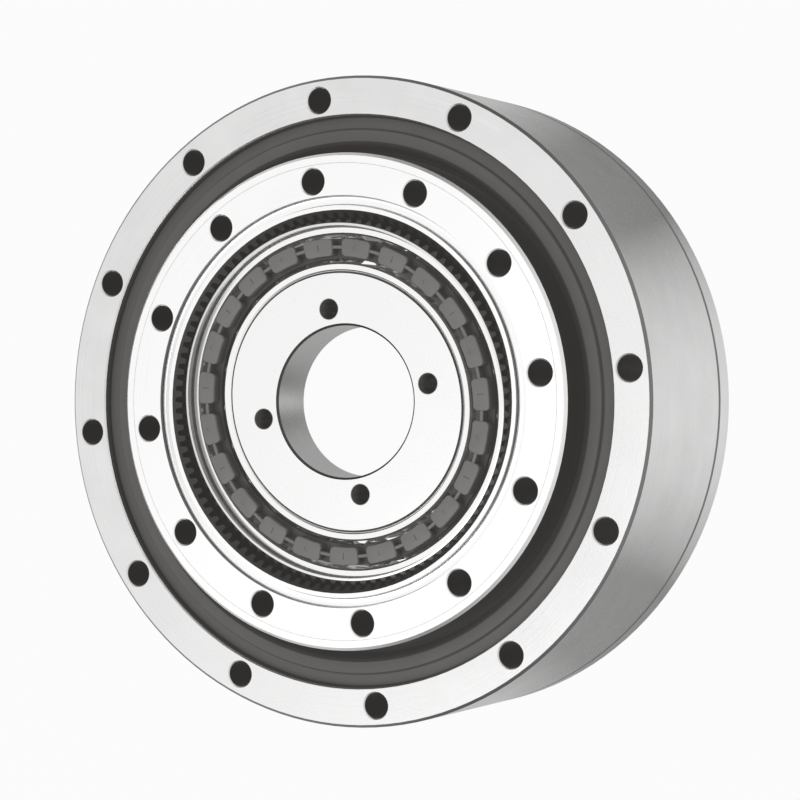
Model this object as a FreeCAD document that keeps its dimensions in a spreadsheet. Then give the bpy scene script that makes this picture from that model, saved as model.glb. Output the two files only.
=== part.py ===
import FreeCAD, Part
import math
import os
import re
import Sketcher

# Strain wave gear unit, as separate pieces, in millimetres.
# The common axis is +Z. The unit lies on the rear face of its flexspline flange, the origin is the
# centre of that face, and the output face looks up. Angles are degrees from +X, seen from the front.

Vector = FreeCAD.Vector

SIZES = {
    # The teeth: two more on the circular spline than on the flexspline. Height and widths in modules
    "module": 0.5,
    "flex_teeth": 100,
    "extra_teeth": 2,
    "tooth_height": 1.32,
    "tooth_root_width": 1.9,
    "tooth_tip_width": 0.9,
    "tooth_wall": 0.42,
    "tooth_flank_gap": 0.06,
    "tooth_tip_gap": 0.1,
    "tooth_length": 10.2,
    # The thin cup: its wall, diaphragm and flange
    "flex_sink": 0.7,
    "flex_rim_rise": 2.0,
    "cup_wall": 0.4,
    "diaphragm_height": 1.2,
    "diaphragm_thickness": 0.8,
    "cup_blend": 1.6,
    "flange_thickness": 4.2,
    "boss_set": 1.0,
    # Heights of the housing side and of the output face
    "body_depth": 30.0,
    "output_rise": 3.0,
    "edge_chamfer": 0.4,
    # The output face, from the inside outwards
    "ring_clearance": 2.0,
    "land_width": 0.6,
    "groove_width": 1.4,
    "groove_depth": 1.6,
    "output_inset": 2.2,
    "output_edge": 2.25,
    "output_hole_radius": 1.75,
    "output_angle": 1.15,
    "output_thread_radius": 1.25,
    "output_thread_depth": 6.0,
    "spline_thickness": 11.5,
    "rim_wall": 1.4,
    # The oil seal between the two bearing rings
    "seal_width": 5.35,
    "seal_pocket_depth": 4.4,
    "seal_recess": 1.3,
    "seal_crest_rise": 0.6,
    "seal_lip_gap": 0.03,
    "seal_skirt": 0.4,
    "seal_case_sheet": 0.4,
    "seal_spring_radius": 0.42,
    # The bolt circle of the housing side
    "bolt_inset": 2.5,
    "bolt_edge": 3.0,
    "bolt_hole_radius": 1.75,
    "bolt_count": 12,
    # The crossed-roller output bearing
    "race_set": 0.85,
    "roller_diameter": 5.0,
    "roller_end_gap": 0.2,
    "roller_count": 36,
    "roller_play": 0.01,
    "raceway_lift": 5.0,
    "ring_gap": 0.4,
    "inner_ring_lift": 2.3,
    "spacer_width": 3.6,
    "loading_play": 0.25,
    "plug_pin_radius": 0.8,
    "fit": 0.01,
    # The wave generator: an elliptical plug in a ball bearing with thin rings
    "major_angle": 131.0,
    "bore_radius": 10.5,
    "bore_chamfer": 0.3,
    "hub_rise": 0.75,
    "hub_inset": 2.5,
    "hub_hole_radius": 1.25,
    "hub_hole_count": 4,
    "hub_angle": 4.8,
    "plug_lip": 0.9,
    "plug_lip_thickness": 0.8,
    "race_width": 7.0,
    "race_wall": 0.8,
    "race_groove": 0.4,
    "race_chamfer": 0.25,
    "ball_radius": 2.3,
    "ball_play": 0.02,
    "race_play": 0.02,
    "ball_count": 23,
    "cage_width": 2.75,
    "cage_rise": 1.35,
    "cage_grip": 1.3,
    "cage_ball_gap": 0.1,
    "cage_slot_width": 1.5,
    "cage_slot_depth": 1.3,
    "cage_neck": 0.9,
    # Screws and sealing rings
    "flange_screw_inset": 1.0,
    "flange_screw_radius": 1.5,
    "flange_thread_height": 0.26,
    "flange_screw_grip": 6.0,
    "flange_head_radius": 2.75,
    "flange_head_height": 2.0,
    "spline_screw_set": 3.05,
    "spline_screw_count": 6,
    "spline_screw_radius": 1.25,
    "spline_thread_height": 0.23,
    "spline_screw_grip": 4.1,
    "spline_head_radius": 2.2,
    "spline_head_height": 2.5,
    "spline_head_sink": 0.6,
    "screw_play": 0.15,
    "flange_ring_set": 1.5,
    "flange_ring_section": 1.0,
    "spline_ring_set": 1.0,
    "spline_ring_section": 0.7,
    "o_ring_squeeze": 0.2,
}

# Radii, heights and angles that follow from the sizes above
PLACES = {
    "deflection": "module * extra_teeth / 2",
    "flex_bore_radius": "module * flex_teeth / 2 - flex_sink",
    "ring_bore_radius": "flex_bore_radius + ring_clearance",
    "groove_inner_radius": "ring_bore_radius + land_width",
    "groove_outer_radius": "groove_inner_radius + groove_width",
    "output_circle_radius": "groove_outer_radius + output_inset",
    "spline_radius": "output_circle_radius + output_edge",
    "seal_track_radius": "spline_radius + rim_wall",
    "seal_pocket_radius": "seal_track_radius + seal_width",
    "bolt_circle_radius": "seal_pocket_radius + bolt_inset",
    "ring_radius": "bolt_circle_radius + bolt_edge",
    "pitch_radius": "seal_track_radius + race_set",
    "boss_radius": "pitch_radius + boss_set",
    "groove_reach": "(roller_diameter / 2 + roller_play) * sqrt(2)",
    "outer_bore": "pitch_radius + ring_gap / 2",
    "inner_surface": "pitch_radius - ring_gap / 2",
    "roller_length": "roller_diameter - roller_end_gap",
    "loading_plug_radius": "roller_diameter / 2 + loading_play",
    "loading_plug_angle": "5.5 * 360 / bolt_count",
    "plug_pin_circle": "(pitch_radius + groove_reach + ring_radius) / 2",
    "ball_circle_radius": "flex_bore_radius - race_play - race_wall - ball_play - ball_radius",
    "outer_groove_floor": "ball_circle_radius + ball_radius + ball_play",
    "inner_groove_floor": "ball_circle_radius - ball_radius - ball_play",
    "plug_radius": "inner_groove_floor - race_wall - fit",
    "cage_inner_radius": "ball_circle_radius - cage_width / 2",
    "cage_outer_radius": "ball_circle_radius + cage_width / 2",
    "hub_circle_radius": "bore_radius + hub_inset",
    "flange_screw_circle": "bolt_circle_radius - flange_screw_inset",
    "flange_screw_core": "flange_screw_radius - flange_thread_height",
    "flange_ring_circle": "boss_radius + flange_ring_set",
    "flange_ring_depth": "(1 - o_ring_squeeze) * flange_ring_section",
    "spline_screw_circle": "ring_bore_radius + spline_screw_set",
    "spline_screw_core": "spline_screw_radius - spline_thread_height",
    "spline_screw_angle": "output_angle + 180 / bolt_count",
    "spline_ring_circle": "ring_bore_radius + spline_ring_set",
    "spline_ring_depth": "(1 - o_ring_squeeze) * spline_ring_section",
    "ring_bottom": "flange_thickness",
    "inner_ring_bottom": "ring_bottom + inner_ring_lift",
    "raceway_height": "inner_ring_bottom + raceway_lift",
    "output_face": "body_depth + output_rise",
    "spline_bottom": "output_face - spline_thickness",
    "hub_face": "body_depth + hub_rise",
    "ball_height": "hub_face - race_width / 2",
    "race_bottom": "hub_face - race_width",
    "plug_bottom": "race_bottom - plug_lip_thickness",
    "cage_front": "hub_face + cage_rise",
    "cage_back": "ball_height - cage_grip",
    "flex_rim": "body_depth + flex_rim_rise",
    "tooth_bottom": "flex_rim - tooth_length",
    "seal_floor": "body_depth - seal_pocket_depth",
    "loading_plug_sink": "edge_chamfer / 2",
}

document = FreeCAD.newDocument("StrainWaveGear")
sheet = document.addObject("Spreadsheet::Sheet", "Sizes")
for row, (alias, number) in enumerate(SIZES.items(), start=1):
    sheet.set(f"A{row}", alias)
    sheet.set(f"B{row}", str(number))
    sheet.setAlias(f"B{row}", alias)
document.recompute()


def bind(formula):
    """The formula with each size name pointing at its cell, and each place spelled out."""

    def cell(word):
        name = word.group()
        if name in PLACES:
            return f"({bind(PLACES[name])})"
        return f"Sizes.{name}" if name in SIZES else name

    return re.sub(r"[a-z][a-z_]*", cell, formula)


def value(formula):
    """The number that the formula gives with the sizes in the sheet."""
    return float(sheet.evalExpression(bind(formula)))


def origin_feature(body, role):
    return [f for f in body.Origin.OriginFeatures if f.Role == role][0]


def new_sketch(body, name, plane):
    sketch = body.newObject("Sketcher::SketchObject", name)
    sketch.AttachmentSupport = [(origin_feature(body, plane), "")]
    sketch.MapMode = "FlatFace"
    return sketch


def hold(sketch, corner, kind, formula):
    """One coordinate of a corner of the outline, kept equal to the formula."""
    if formula == "0":
        sketch.addConstraint(Sketcher.Constraint("PointOnObject", corner, 1, -1))
        return
    number = value(formula)
    index = sketch.addConstraint(Sketcher.Constraint(kind, -1, 1, corner, 1, number))
    sketch.setExpression(f"Constraints[{index}]", bind(formula))


def revolve(label, outline):
    """A body turned from an outline of (radius, height) corners."""
    body = document.addObject("PartDesign::Body", label)
    sketch = new_sketch(body, label + "_section", "XZ_Plane")
    points = [Vector(value(radius), value(height), 0) for radius, height in outline]
    count = len(points)
    for k in range(count):
        sketch.addGeometry(Part.LineSegment(points[k], points[(k + 1) % count]))
    for k in range(count):
        sketch.addConstraint(Sketcher.Constraint("Coincident", k, 2, (k + 1) % count, 1))
    for k, (radius, height) in enumerate(outline):
        hold(sketch, k, "DistanceX", radius)
        hold(sketch, k, "DistanceY", height)
    turned = body.newObject("PartDesign::Revolution", label + "_turned")
    turned.Profile = sketch
    turned.ReferenceAxis = (origin_feature(body, "Z_Axis"), [""])
    turned.Angle = 360
    document.recompute()
    return body


def drill(body, name, circle, radius, top, depth, angle="0", count="1", upwards=False):
    """Round holes on a circle, from the height called top, downwards or upwards."""
    before = body.Shape.Volume
    sketch = new_sketch(body, name + "_place", "XY_Plane")
    sketch.addGeometry(Part.Circle(Vector(value(circle), 0, 0), Vector(0, 0, 1), value(radius)))
    sketch.addConstraint(Sketcher.Constraint("PointOnObject", 0, 3, -1))
    place = sketch.addConstraint(Sketcher.Constraint("DistanceX", -1, 1, 0, 3, value(circle)))
    sketch.setExpression(f"Constraints[{place}]", bind(circle))
    size = sketch.addConstraint(Sketcher.Constraint("Radius", 0, value(radius)))
    sketch.setExpression(f"Constraints[{size}]", bind(radius))
    turn = FreeCAD.Rotation(Vector(0, 0, 1), 1)
    sketch.AttachmentOffset = FreeCAD.Placement(Vector(0, 0, value(top)), turn)
    sketch.setExpression("AttachmentOffset.Base.z", bind(top))
    sketch.setExpression("AttachmentOffset.Rotation.Angle", bind(angle))
    hole = body.newObject("PartDesign::Pocket", name)
    hole.Profile = sketch
    hole.Type = "Length"
    hole.Length = value(depth)
    hole.setExpression("Length", bind(depth))
    hole.Reversed = upwards
    document.recompute()
    if count != "1":
        pattern = body.newObject("PartDesign::PolarPattern", name + "_pattern")
        pattern.Originals = [hole]
        pattern.Axis = (origin_feature(body, "Z_Axis"), [""])
        pattern.Angle = 360
        pattern.Occurrences = int(value(count))
        pattern.setExpression("Occurrences", bind(count))
        body.Tip = pattern
        document.recompute()
    if body.Shape.Volume > before - 1e-3:
        raise RuntimeError(f"{name} cut nothing from {body.Label}")


def primitive(kind, name, angle="0", height="0", **sizes):
    """A Part primitive on the axis, with its properties bound to formulas."""
    item = document.addObject(kind, name)
    item.Placement = FreeCAD.Placement(Vector(0, 0, value(height)), FreeCAD.Rotation(Vector(0, 0, 1), 1))
    item.setExpression("Placement.Base.z", bind(height))
    item.setExpression("Placement.Rotation.Angle", bind(angle))
    for key, formula in sizes.items():
        item.setExpression(key, bind(formula))
    return item


def raised(name, outline, thickness):
    """A solid of this thickness above a closed flat curve."""
    prism = document.addObject("Part::Extrusion", name)
    prism.Base = outline
    prism.DirMode = "Custom"
    prism.Dir = Vector(0, 0, 1)
    prism.Solid = True
    prism.setExpression("LengthFwd", bind(thickness))
    return prism


def combined(kind, name, first, second):
    """Part::Fuse or Part::Cut of two objects."""
    result = document.addObject(kind, name)
    result.Base = first
    result.Tool = second
    document.recompute()
    return result


def oval(name, radius, height, thickness):
    """A solid whose outline is the generator's ellipse at this mean radius."""
    outline = primitive(
        "Part::Ellipse",
        name + "_outline",
        "major_angle",
        height,
        MajorRadius=f"{radius} + deflection",
        MinorRadius=f"{radius} - deflection",
    )
    return raised(name, outline, thickness)


def shaped(label, shape):
    """A sub-part, or a tool for cutting one, whose shape is worked out in code."""
    item = document.addObject("Part::Feature", label)
    item.Shape = shape
    return item


def around(shape, count, start, step=None):
    """Copies of a shape, as separate solids, turned evenly about the axis."""
    copies = []
    for k in range(count):
        copy = shape.copy()
        copy.rotate(Vector(0, 0, 0), Vector(0, 0, 1), start + k * (step or 360 / count))
        copies.append(copy)
    return Part.makeCompound(copies)


def turned(points):
    """A solid turned from (radius, height) points."""
    wire = Part.makePolygon([Vector(radius, 0, height) for radius, height in points + points[:1]])
    return Part.Face(wire).revolve(Vector(0, 0, 0), Vector(0, 0, 1), 360)


def outer_ring():
    """Outer ring of the output bearing, with the seal pocket in front and a V raceway inside."""
    ring = revolve(
        "outer_ring",
        [
            ("outer_bore", "ring_bottom"),
            ("ring_radius - edge_chamfer", "ring_bottom"),
            ("ring_radius", "ring_bottom + edge_chamfer"),
            ("ring_radius", "body_depth - edge_chamfer"),
            ("ring_radius - edge_chamfer", "body_depth"),
            ("seal_pocket_radius + edge_chamfer / 2", "body_depth"),
            ("seal_pocket_radius", "body_depth - edge_chamfer / 2"),
            ("seal_pocket_radius", "seal_floor"),
            ("outer_bore", "seal_floor"),
            ("outer_bore", "raceway_height + groove_reach - ring_gap / 2"),
            ("pitch_radius + groove_reach", "raceway_height"),
            ("outer_bore", "raceway_height - groove_reach + ring_gap / 2"),
        ],
    )
    drill(ring, "bolt_holes", "bolt_circle_radius", "bolt_hole_radius", "body_depth", "body_depth",
          count="bolt_count")
    groove = ring_groove("flange_groove", "flange_ring", "ring_bottom")
    grooved = combined("Part::Cut", "grooved_outer_ring", ring, groove)
    tools = [loading_bar("0", "edge_chamfer"), plug_pin("0", "fit")] + clamp_threads().Solids
    passages = shaped("loading_hole_and_threads", Part.makeCompound(tools))
    ready = combined("Part::Cut", "outer_ring_ready", grooved, passages)
    ring.Label = "outer_ring_turned"
    ready.Label = "outer_ring"
    return ready


def ring_groove(name, ring, bottom):
    """The groove that a sealing ring lies in."""
    outer = primitive("Part::Cylinder", name + "_outer", height=bottom,
                      Radius=f"{ring}_circle + 0.6 * {ring}_section", Height=f"{ring}_depth")
    inner = primitive("Part::Cylinder", name + "_inner", height=bottom,
                      Radius=f"{ring}_circle - 0.6 * {ring}_section", Height=f"{ring}_depth")
    return combined("Part::Cut", name, outer, inner)


def every_other_gap(shape):
    """Copies of a shape at half of the gaps between the bolt holes, from the first gap on."""
    count = int(value("bolt_count"))
    return around(shape, count // 2, 180 / count, 720 / count)


def clamp_threads():
    """Tapped holes for the flange screws, up from the ring's rear face."""
    hole = Part.makeCylinder(
        value("flange_screw_core + fit"), value("flange_screw_grip + screw_play"),
        Vector(value("flange_screw_circle"), 0, value("ring_bottom")),
    )
    return every_other_gap(hole)


def loading_bar(play, reach):
    """The bar that fills the radial hole through which the rollers go in."""
    start = value("pitch_radius")
    length = value(f"ring_radius + {reach}") - start
    bar = Part.makeCylinder(
        value(f"loading_plug_radius - {play}"), length,
        Vector(start, 0, value("raceway_height")), Vector(1, 0, 0),
    )
    bar.rotate(Vector(0, 0, 0), Vector(0, 0, 1), value("loading_plug_angle"))
    return bar


def plug_pin(play, extra):
    """The locking pin's place: along the axis, from the ring's rear face through the plug."""
    top = value("raceway_height + loading_plug_radius + plug_pin_radius")
    bottom = value("ring_bottom")
    pin = Part.makeCylinder(
        value(f"plug_pin_radius + {extra}"), top - bottom - value(play),
        Vector(value("plug_pin_circle"), 0, bottom + value(play)),
    )
    pin.rotate(Vector(0, 0, 0), Vector(0, 0, 1), value("loading_plug_angle"))
    return pin


def raceway_channel():
    """The square channel that both rings leave for the rollers, standing on its corner."""
    centre = value("pitch_radius")
    height = value("raceway_height")
    reach = value("groove_reach")
    return turned([(centre - reach, height), (centre, height - reach), (centre + reach, height),
                   (centre, height + reach)])


def roller_plug():
    """Plug of the loading hole, its inner end shaped like the raceway that it completes."""
    bar = loading_bar("fit", "0").common(
        Part.makeCylinder(value("ring_radius - loading_plug_sink"), value("body_depth"))
    )
    throat = Part.makeCylinder(value("outer_bore"), value("body_depth"))
    shape = bar.cut(throat).cut(raceway_channel()).cut(plug_pin("0", "fit"))
    return shaped("roller_plug", shape)


def roller_plug_pin():
    """Pin that locks the plug, put in from the rear face of the ring."""
    return shaped("roller_plug_pin", plug_pin("edge_chamfer", "0"))


def inner_ring():
    """Inner ring of the output bearing, with the rim round the output face that the seal runs on."""
    ring = revolve(
        "inner_ring",
        [
            ("ring_bore_radius", "inner_ring_bottom"),
            ("inner_surface", "inner_ring_bottom"),
            ("inner_surface", "raceway_height - groove_reach + ring_gap / 2"),
            ("pitch_radius - groove_reach", "raceway_height"),
            ("inner_surface", "raceway_height + groove_reach - ring_gap / 2"),
            ("inner_surface", "seal_floor - ring_gap"),
            ("seal_track_radius", "seal_floor"),
            ("seal_track_radius", "output_face - edge_chamfer"),
            ("seal_track_radius - edge_chamfer", "output_face"),
            ("spline_radius + fit", "output_face"),
            ("spline_radius + fit", "spline_bottom"),
            ("ring_bore_radius", "spline_bottom"),
        ],
    )
    drill(ring, "output_threads", "output_circle_radius", "output_thread_radius", "spline_bottom",
          "output_thread_depth", "output_angle", "bolt_count")
    drill(ring, "screw_passages", "spline_screw_circle", "spline_screw_radius + screw_play",
          "inner_ring_bottom", "spline_bottom - inner_ring_bottom", "spline_screw_angle",
          "spline_screw_count", True)
    drill(ring, "head_pockets", "spline_screw_circle", "spline_head_radius + screw_play",
          "inner_ring_bottom", "spline_head_height + spline_head_sink", "spline_screw_angle",
          "spline_screw_count", True)
    groove = ring_groove("spline_groove", "spline_ring", "spline_bottom - spline_ring_depth")
    ready = combined("Part::Cut", "inner_ring_ready", ring, groove)
    ring.Label = "inner_ring_turned"
    ready.Label = "inner_ring"
    return ready


def crossed_roller(lean):
    """One roller at its place on +X, its axis leaning up or down between the rings."""
    length = value("roller_length")
    half = length / 2
    radius = value("roller_diameter / 2")
    roller = Part.makeCylinder(radius, length, Vector(0, 0, -half))
    roller = roller.makeChamfer(radius / 10, roller.Edges[0:1] + roller.Edges[2:3])
    roller.rotate(Vector(0, 0, 0), Vector(0, 1, 0), lean)
    roller.translate(Vector(value("pitch_radius"), 0, value("raceway_height")))
    return roller


def rollers():
    """Rollers whose axes cross, each one square to the next."""
    half = int(value("roller_count")) // 2
    pairs = [around(crossed_roller(45), half, 0), around(crossed_roller(-45), half, 180 / half)]
    solids = pairs[0].Solids + pairs[1].Solids
    return shaped("crossed_rollers", Part.makeCompound(solids))


def spacers():
    """Plastic saddles between the rollers, hollowed by both neighbours."""
    half = int(value("roller_count")) // 2
    step = 180 / half
    width = value("spacer_width")
    radius = value("roller_diameter / 2")
    solids = []
    for lean, start in ((45, 0), (-45, step)):
        block = Part.makeBox(width, radius, width, Vector(-width / 2, -radius / 2, -width / 2))
        block.rotate(Vector(0, 0, 0), Vector(0, 1, 0), 45)
        block.translate(Vector(value("pitch_radius"), 0, value("raceway_height")))
        for side, tilt in ((-1, lean), (1, -lean)):
            hollow = Part.makeCylinder(radius + value("cage_ball_gap"), 2 * radius, Vector(0, 0, -radius))
            hollow.rotate(Vector(0, 0, 0), Vector(0, 1, 0), tilt)
            hollow.translate(Vector(value("pitch_radius"), 0, value("raceway_height")))
            hollow.rotate(Vector(0, 0, 0), Vector(0, 0, 1), side * step / 2)
            block = block.cut(hollow)
        solids += around(block, half, start + step / 2).Solids
    return shaped("roller_spacers", Part.makeCompound(solids))


def seal():
    """The oil seal: rubber with a lip on the inner ring, a bent steel case and a garter spring."""
    wall = value("seal_pocket_radius - 2 * fit")
    face = value("body_depth - seal_recess")
    floor = value("seal_floor + fit")
    crest = face + value("seal_crest_rise")
    track = value("seal_track_radius + seal_lip_gap")
    metal = value("seal_case_sheet")
    spring = value("seal_spring_radius")
    skirt = wall - value("seal_skirt")
    # Inner points of the section, from its floor, its crest, its wall and the lip's edge
    ledge = crest - 1.4
    lip = floor + 1.0
    heel = lip - 0.7
    knee = lip - 0.2
    back = track + 1.1
    rubber = turned([
        (wall, floor), (wall, face - 0.6), (wall - 0.8, face), (wall - 1.7, face),
        (wall - 1.9, crest - 0.1), (wall - 2.0, crest), (track + 1.8, crest), (track + 1.4, crest - 0.5),
        (track + 0.65, lip + 0.4), (track, lip), (track + 0.4, heel), (back, heel),
        (back, knee), (back + 0.45, knee + 1.1), (back + 1.0, ledge), (skirt, ledge), (skirt, floor),
    ])
    case = turned([
        (back + 1.2, ledge), (back + 1.2, ledge - metal), (skirt - metal, ledge - metal),
        (skirt - metal, floor), (skirt, floor), (skirt, ledge),
    ])
    coil = Part.makeTorus(back + 0.15 + 1.08 * spring, spring, Vector(0, 0, knee + 0.25))
    return [shaped("oil_seal", rubber), shaped("seal_case", case), shaped("seal_spring", coil)]


def bent(angle, height, offset):
    """A point of the bent cup: its angle round the cup, height above the middle of the wall and
    offset along the wall. The ellipse carries the wall outwards, along and askew."""
    middle = value("flex_bore_radius + cup_wall / 2")
    swing = value("deflection")
    out = middle + swing * math.cos(2 * angle)
    place = angle - swing / 2 * math.sin(2 * angle) / middle
    lean = place + 2 * swing * math.sin(2 * angle) / middle
    x = out * math.cos(place) + height * math.cos(lean) - offset * math.sin(lean)
    y = out * math.sin(place) + height * math.sin(lean) + offset * math.cos(lean)
    return Vector(x, y, 0)


def prism(points, bottom, top):
    """A closed polygon raised between two heights and turned to the generator's major axis."""
    base = [point + Vector(0, 0, bottom) for point in points]
    face = Part.Face(Part.makePolygon(base + base[:1]))
    solid = face.extrude(Vector(0, 0, top - bottom))
    solid.rotate(Vector(0, 0, 0), Vector(0, 0, 1), value("major_angle"))
    return solid


def oval_wire(radius, height):
    """The generator's ellipse at this mean radius, before it is turned to the major axis."""
    swing = value("deflection")
    centre = Vector(0, 0, height)
    return Part.Wire(Part.Ellipse(centre, radius + swing, radius - swing).toShape())


def round_wire(radius, height):
    return Part.Wire(Part.Circle(Vector(0, 0, height), Vector(0, 0, 1), radius).toShape())


def flexspline():
    """Thin cup with external teeth, bent to the ellipse in front and round at its flange."""
    count = int(value("flex_teeth"))
    bottom = value("tooth_bottom")
    rim = value("flex_rim")
    bore = value("flex_bore_radius")
    wall = value("cup_wall")
    root = value("tooth_wall") - wall / 2
    tip = root + value("tooth_height * module")
    root_half = value("tooth_root_width * module") / 2
    tip_half = value("tooth_tip_width * module") / 2
    outline = []
    for k in range(count):
        angle = 2 * math.pi * k / count
        outline += [bent(angle, root, -root_half), bent(angle, tip, -tip_half)]
        outline += [bent(angle, tip, tip_half), bent(angle, root, root_half)]
    toothed = prism(outline, bottom, rim)
    # The round part: flange with its boss, thin diaphragm, and a blend up into the cup wall
    low = value("diaphragm_height")
    high = low + value("diaphragm_thickness")
    blend = value("cup_blend")
    inner_blend = blend + wall
    neck = high + blend
    outer = bore + wall
    flange = value("flange_thickness")
    edge = value("ring_radius")
    chamfer = value("edge_chamfer")
    boss = value("boss_radius")
    middle = math.sqrt(0.5)
    arcs = [
        Part.Arc(Vector(outer, 0, neck), Vector(outer + blend * (1 - middle), 0, neck - blend * middle),
                 Vector(outer + blend, 0, high)),
        Part.Arc(Vector(outer + blend, 0, low),
                 Vector(outer + blend - inner_blend * middle, 0, low + inner_blend * (1 - middle)),
                 Vector(bore, 0, low + inner_blend)),
    ]
    rear = [
        Vector(outer + blend, 0, high), Vector(boss - chamfer, 0, high), Vector(boss, 0, flange),
        Vector(edge - chamfer, 0, flange), Vector(edge, 0, flange - chamfer), Vector(edge, 0, chamfer),
        Vector(edge - chamfer, 0, 0), Vector(boss + chamfer, 0, 0), Vector(boss, 0, low),
        Vector(outer + blend, 0, low),
    ]
    edges = [arcs[0].toShape()]
    edges += [Part.LineSegment(a, b).toShape() for a, b in zip(rear, rear[1:])]
    edges += [arcs[1].toShape()]
    edges += [Part.LineSegment(Vector(bore, 0, low + inner_blend), Vector(bore, 0, neck)).toShape()]
    edges += [Part.LineSegment(Vector(bore, 0, neck), Vector(outer, 0, neck)).toShape()]
    round_part = Part.Face(Part.Wire(edges)).revolve(Vector(0, 0, 0), Vector(0, 0, 1), 360)
    # The wall between: a circle that grows into the ellipse
    skin = Part.makeLoft([round_wire(outer, neck), oval_wire(outer, bottom)], True)
    hollow = Part.makeLoft([round_wire(bore, neck), oval_wire(bore, bottom)], True)
    for loft in (skin, hollow):
        loft.rotate(Vector(0, 0, 0), Vector(0, 0, 1), value("major_angle"))
    cup = skin.cut(hollow)
    inside = Part.Face(oval_wire(bore, bottom)).extrude(Vector(0, 0, rim - bottom))
    inside.rotate(Vector(0, 0, 0), Vector(0, 0, 1), value("major_angle"))
    shape = toothed.cut(inside).fuse([cup, round_part])
    holes = around(
        Part.makeCylinder(value("bolt_hole_radius"), flange, Vector(value("bolt_circle_radius"), 0, 0)),
        int(value("bolt_count")), 0,
    )
    seat = value("flange_screw_circle")
    passage = Part.makeCylinder(value("flange_screw_radius + screw_play"), flange, Vector(seat, 0, 0))
    pocket = Part.makeCylinder(
        value("flange_head_radius + screw_play"), value("flange_head_height + screw_play"),
        Vector(seat, 0, 0),
    )
    return shaped("flexspline", shape.cut([holes, every_other_gap(passage.fuse(pocket))]))


def circular_spline():
    """Rigid ring with internal teeth, two more than the flexspline, and the output face."""
    spline = revolve(
        "circular_spline",
        [
            ("flex_bore_radius", "spline_bottom"),
            ("spline_radius", "spline_bottom"),
            ("spline_radius", "output_face"),
            ("groove_outer_radius", "output_face"),
            ("groove_outer_radius", "output_face - groove_depth"),
            ("groove_inner_radius", "output_face - groove_depth"),
            ("groove_inner_radius", "output_face"),
            ("ring_bore_radius", "output_face"),
            ("flex_bore_radius", "output_face - ring_clearance"),
        ],
    )
    drill(spline, "output_holes", "output_circle_radius", "output_hole_radius", "output_face",
          "spline_thickness", "output_angle", "bolt_count")
    drill(spline, "spline_screw_threads", "spline_screw_circle", "spline_screw_core + fit",
          "spline_bottom", "spline_screw_grip + screw_play", "spline_screw_angle",
          "spline_screw_count", True)
    spaces = int(value("flex_teeth + extra_teeth"))
    root = value("flex_bore_radius + tooth_wall + deflection")
    tip = root + value("tooth_tip_gap")
    bottom = root + value("tooth_height * module + tooth_tip_gap")
    slope = value("(tooth_root_width - tooth_tip_width) / 2 / tooth_height")
    mouth = value("tooth_root_width * module / 2 + tooth_flank_gap") - slope * (tip - root)
    floor = value("tooth_tip_width * module / 2 + tooth_flank_gap")
    outline = []
    for k in range(spaces):
        angle = 2 * math.pi * k / spaces
        for radius, half in ((tip, -mouth), (bottom, -floor), (bottom, floor), (tip, mouth)):
            turn = angle + half / radius
            outline.append(Vector(radius * math.cos(turn), radius * math.sin(turn), 0))
    void = prism(outline, value("spline_bottom") - 1, value("output_face") + 1)
    cutter = shaped("tooth_spaces", void)
    ready = combined("Part::Cut", "circular_spline_ready", spline, cutter)
    spline.Label = "circular_spline_turned"
    ready.Label = "circular_spline"
    return ready


def generator_plug():
    """Elliptical hub with a lip behind the bearing, a through bore and four tapped holes."""
    seat = oval("plug_seat", "plug_radius", "race_bottom", "race_width")
    lip = oval("plug_lip_disc", "(plug_radius + plug_lip)", "plug_bottom", "plug_lip_thickness")
    solid = combined("Part::Fuse", "plug_solid", seat, lip)
    bore = primitive("Part::Cylinder", "plug_bore", height="plug_bottom",
                     Radius="bore_radius", Height="race_width + plug_lip_thickness")
    mouth = primitive("Part::Cone", "bore_mouth", height="hub_face - bore_chamfer",
                      Radius1="bore_radius", Radius2="bore_radius + bore_chamfer", Height="bore_chamfer")
    tail = primitive("Part::Cone", "bore_tail", height="plug_bottom",
                     Radius1="bore_radius + bore_chamfer", Radius2="bore_radius", Height="bore_chamfer")
    hollow = combined("Part::Fuse", "bore_with_mouth", bore, mouth)
    hollow = combined("Part::Fuse", "bore_with_ends", hollow, tail)
    bored = combined("Part::Cut", "plug_bored", solid, hollow)
    hole = Part.makeCylinder(value("hub_hole_radius"), value("race_width + plug_lip_thickness"),
                             Vector(value("hub_circle_radius"), 0, value("plug_bottom")))
    holes = shaped("hub_holes", around(hole, int(value("hub_hole_count")), value("hub_angle")))
    ready = combined("Part::Cut", "generator_plug_ready", bored, holes)
    ready.Label = "generator_plug"
    return ready


def swept(points, arc):
    """A ring section of (radius, height) corners, carried round the ball ellipse. The arc is the
    middle point of the curve that closes the section, or None."""
    spine = oval_wire(value("ball_circle_radius"), value("ball_height"))
    shift = value("deflection")
    corners = [Vector(radius + shift, 0, height) for radius, height in points]
    edges = [Part.LineSegment(a, b).toShape() for a, b in zip(corners, corners[1:])]
    if arc:
        middle = Vector(arc[0] + shift, 0, arc[1])
        edges.append(Part.Arc(corners[-1], middle, corners[0]).toShape())
    else:
        edges.append(Part.LineSegment(corners[-1], corners[0]).toShape())
    pipe = Part.BRepOffsetAPI.MakePipeShell(spine)
    pipe.setBiNormalMode(Vector(0, 0, 1))
    pipe.add(Part.Wire(edges))
    pipe.build()
    pipe.makeSolid()
    return pipe.shape()


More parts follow.
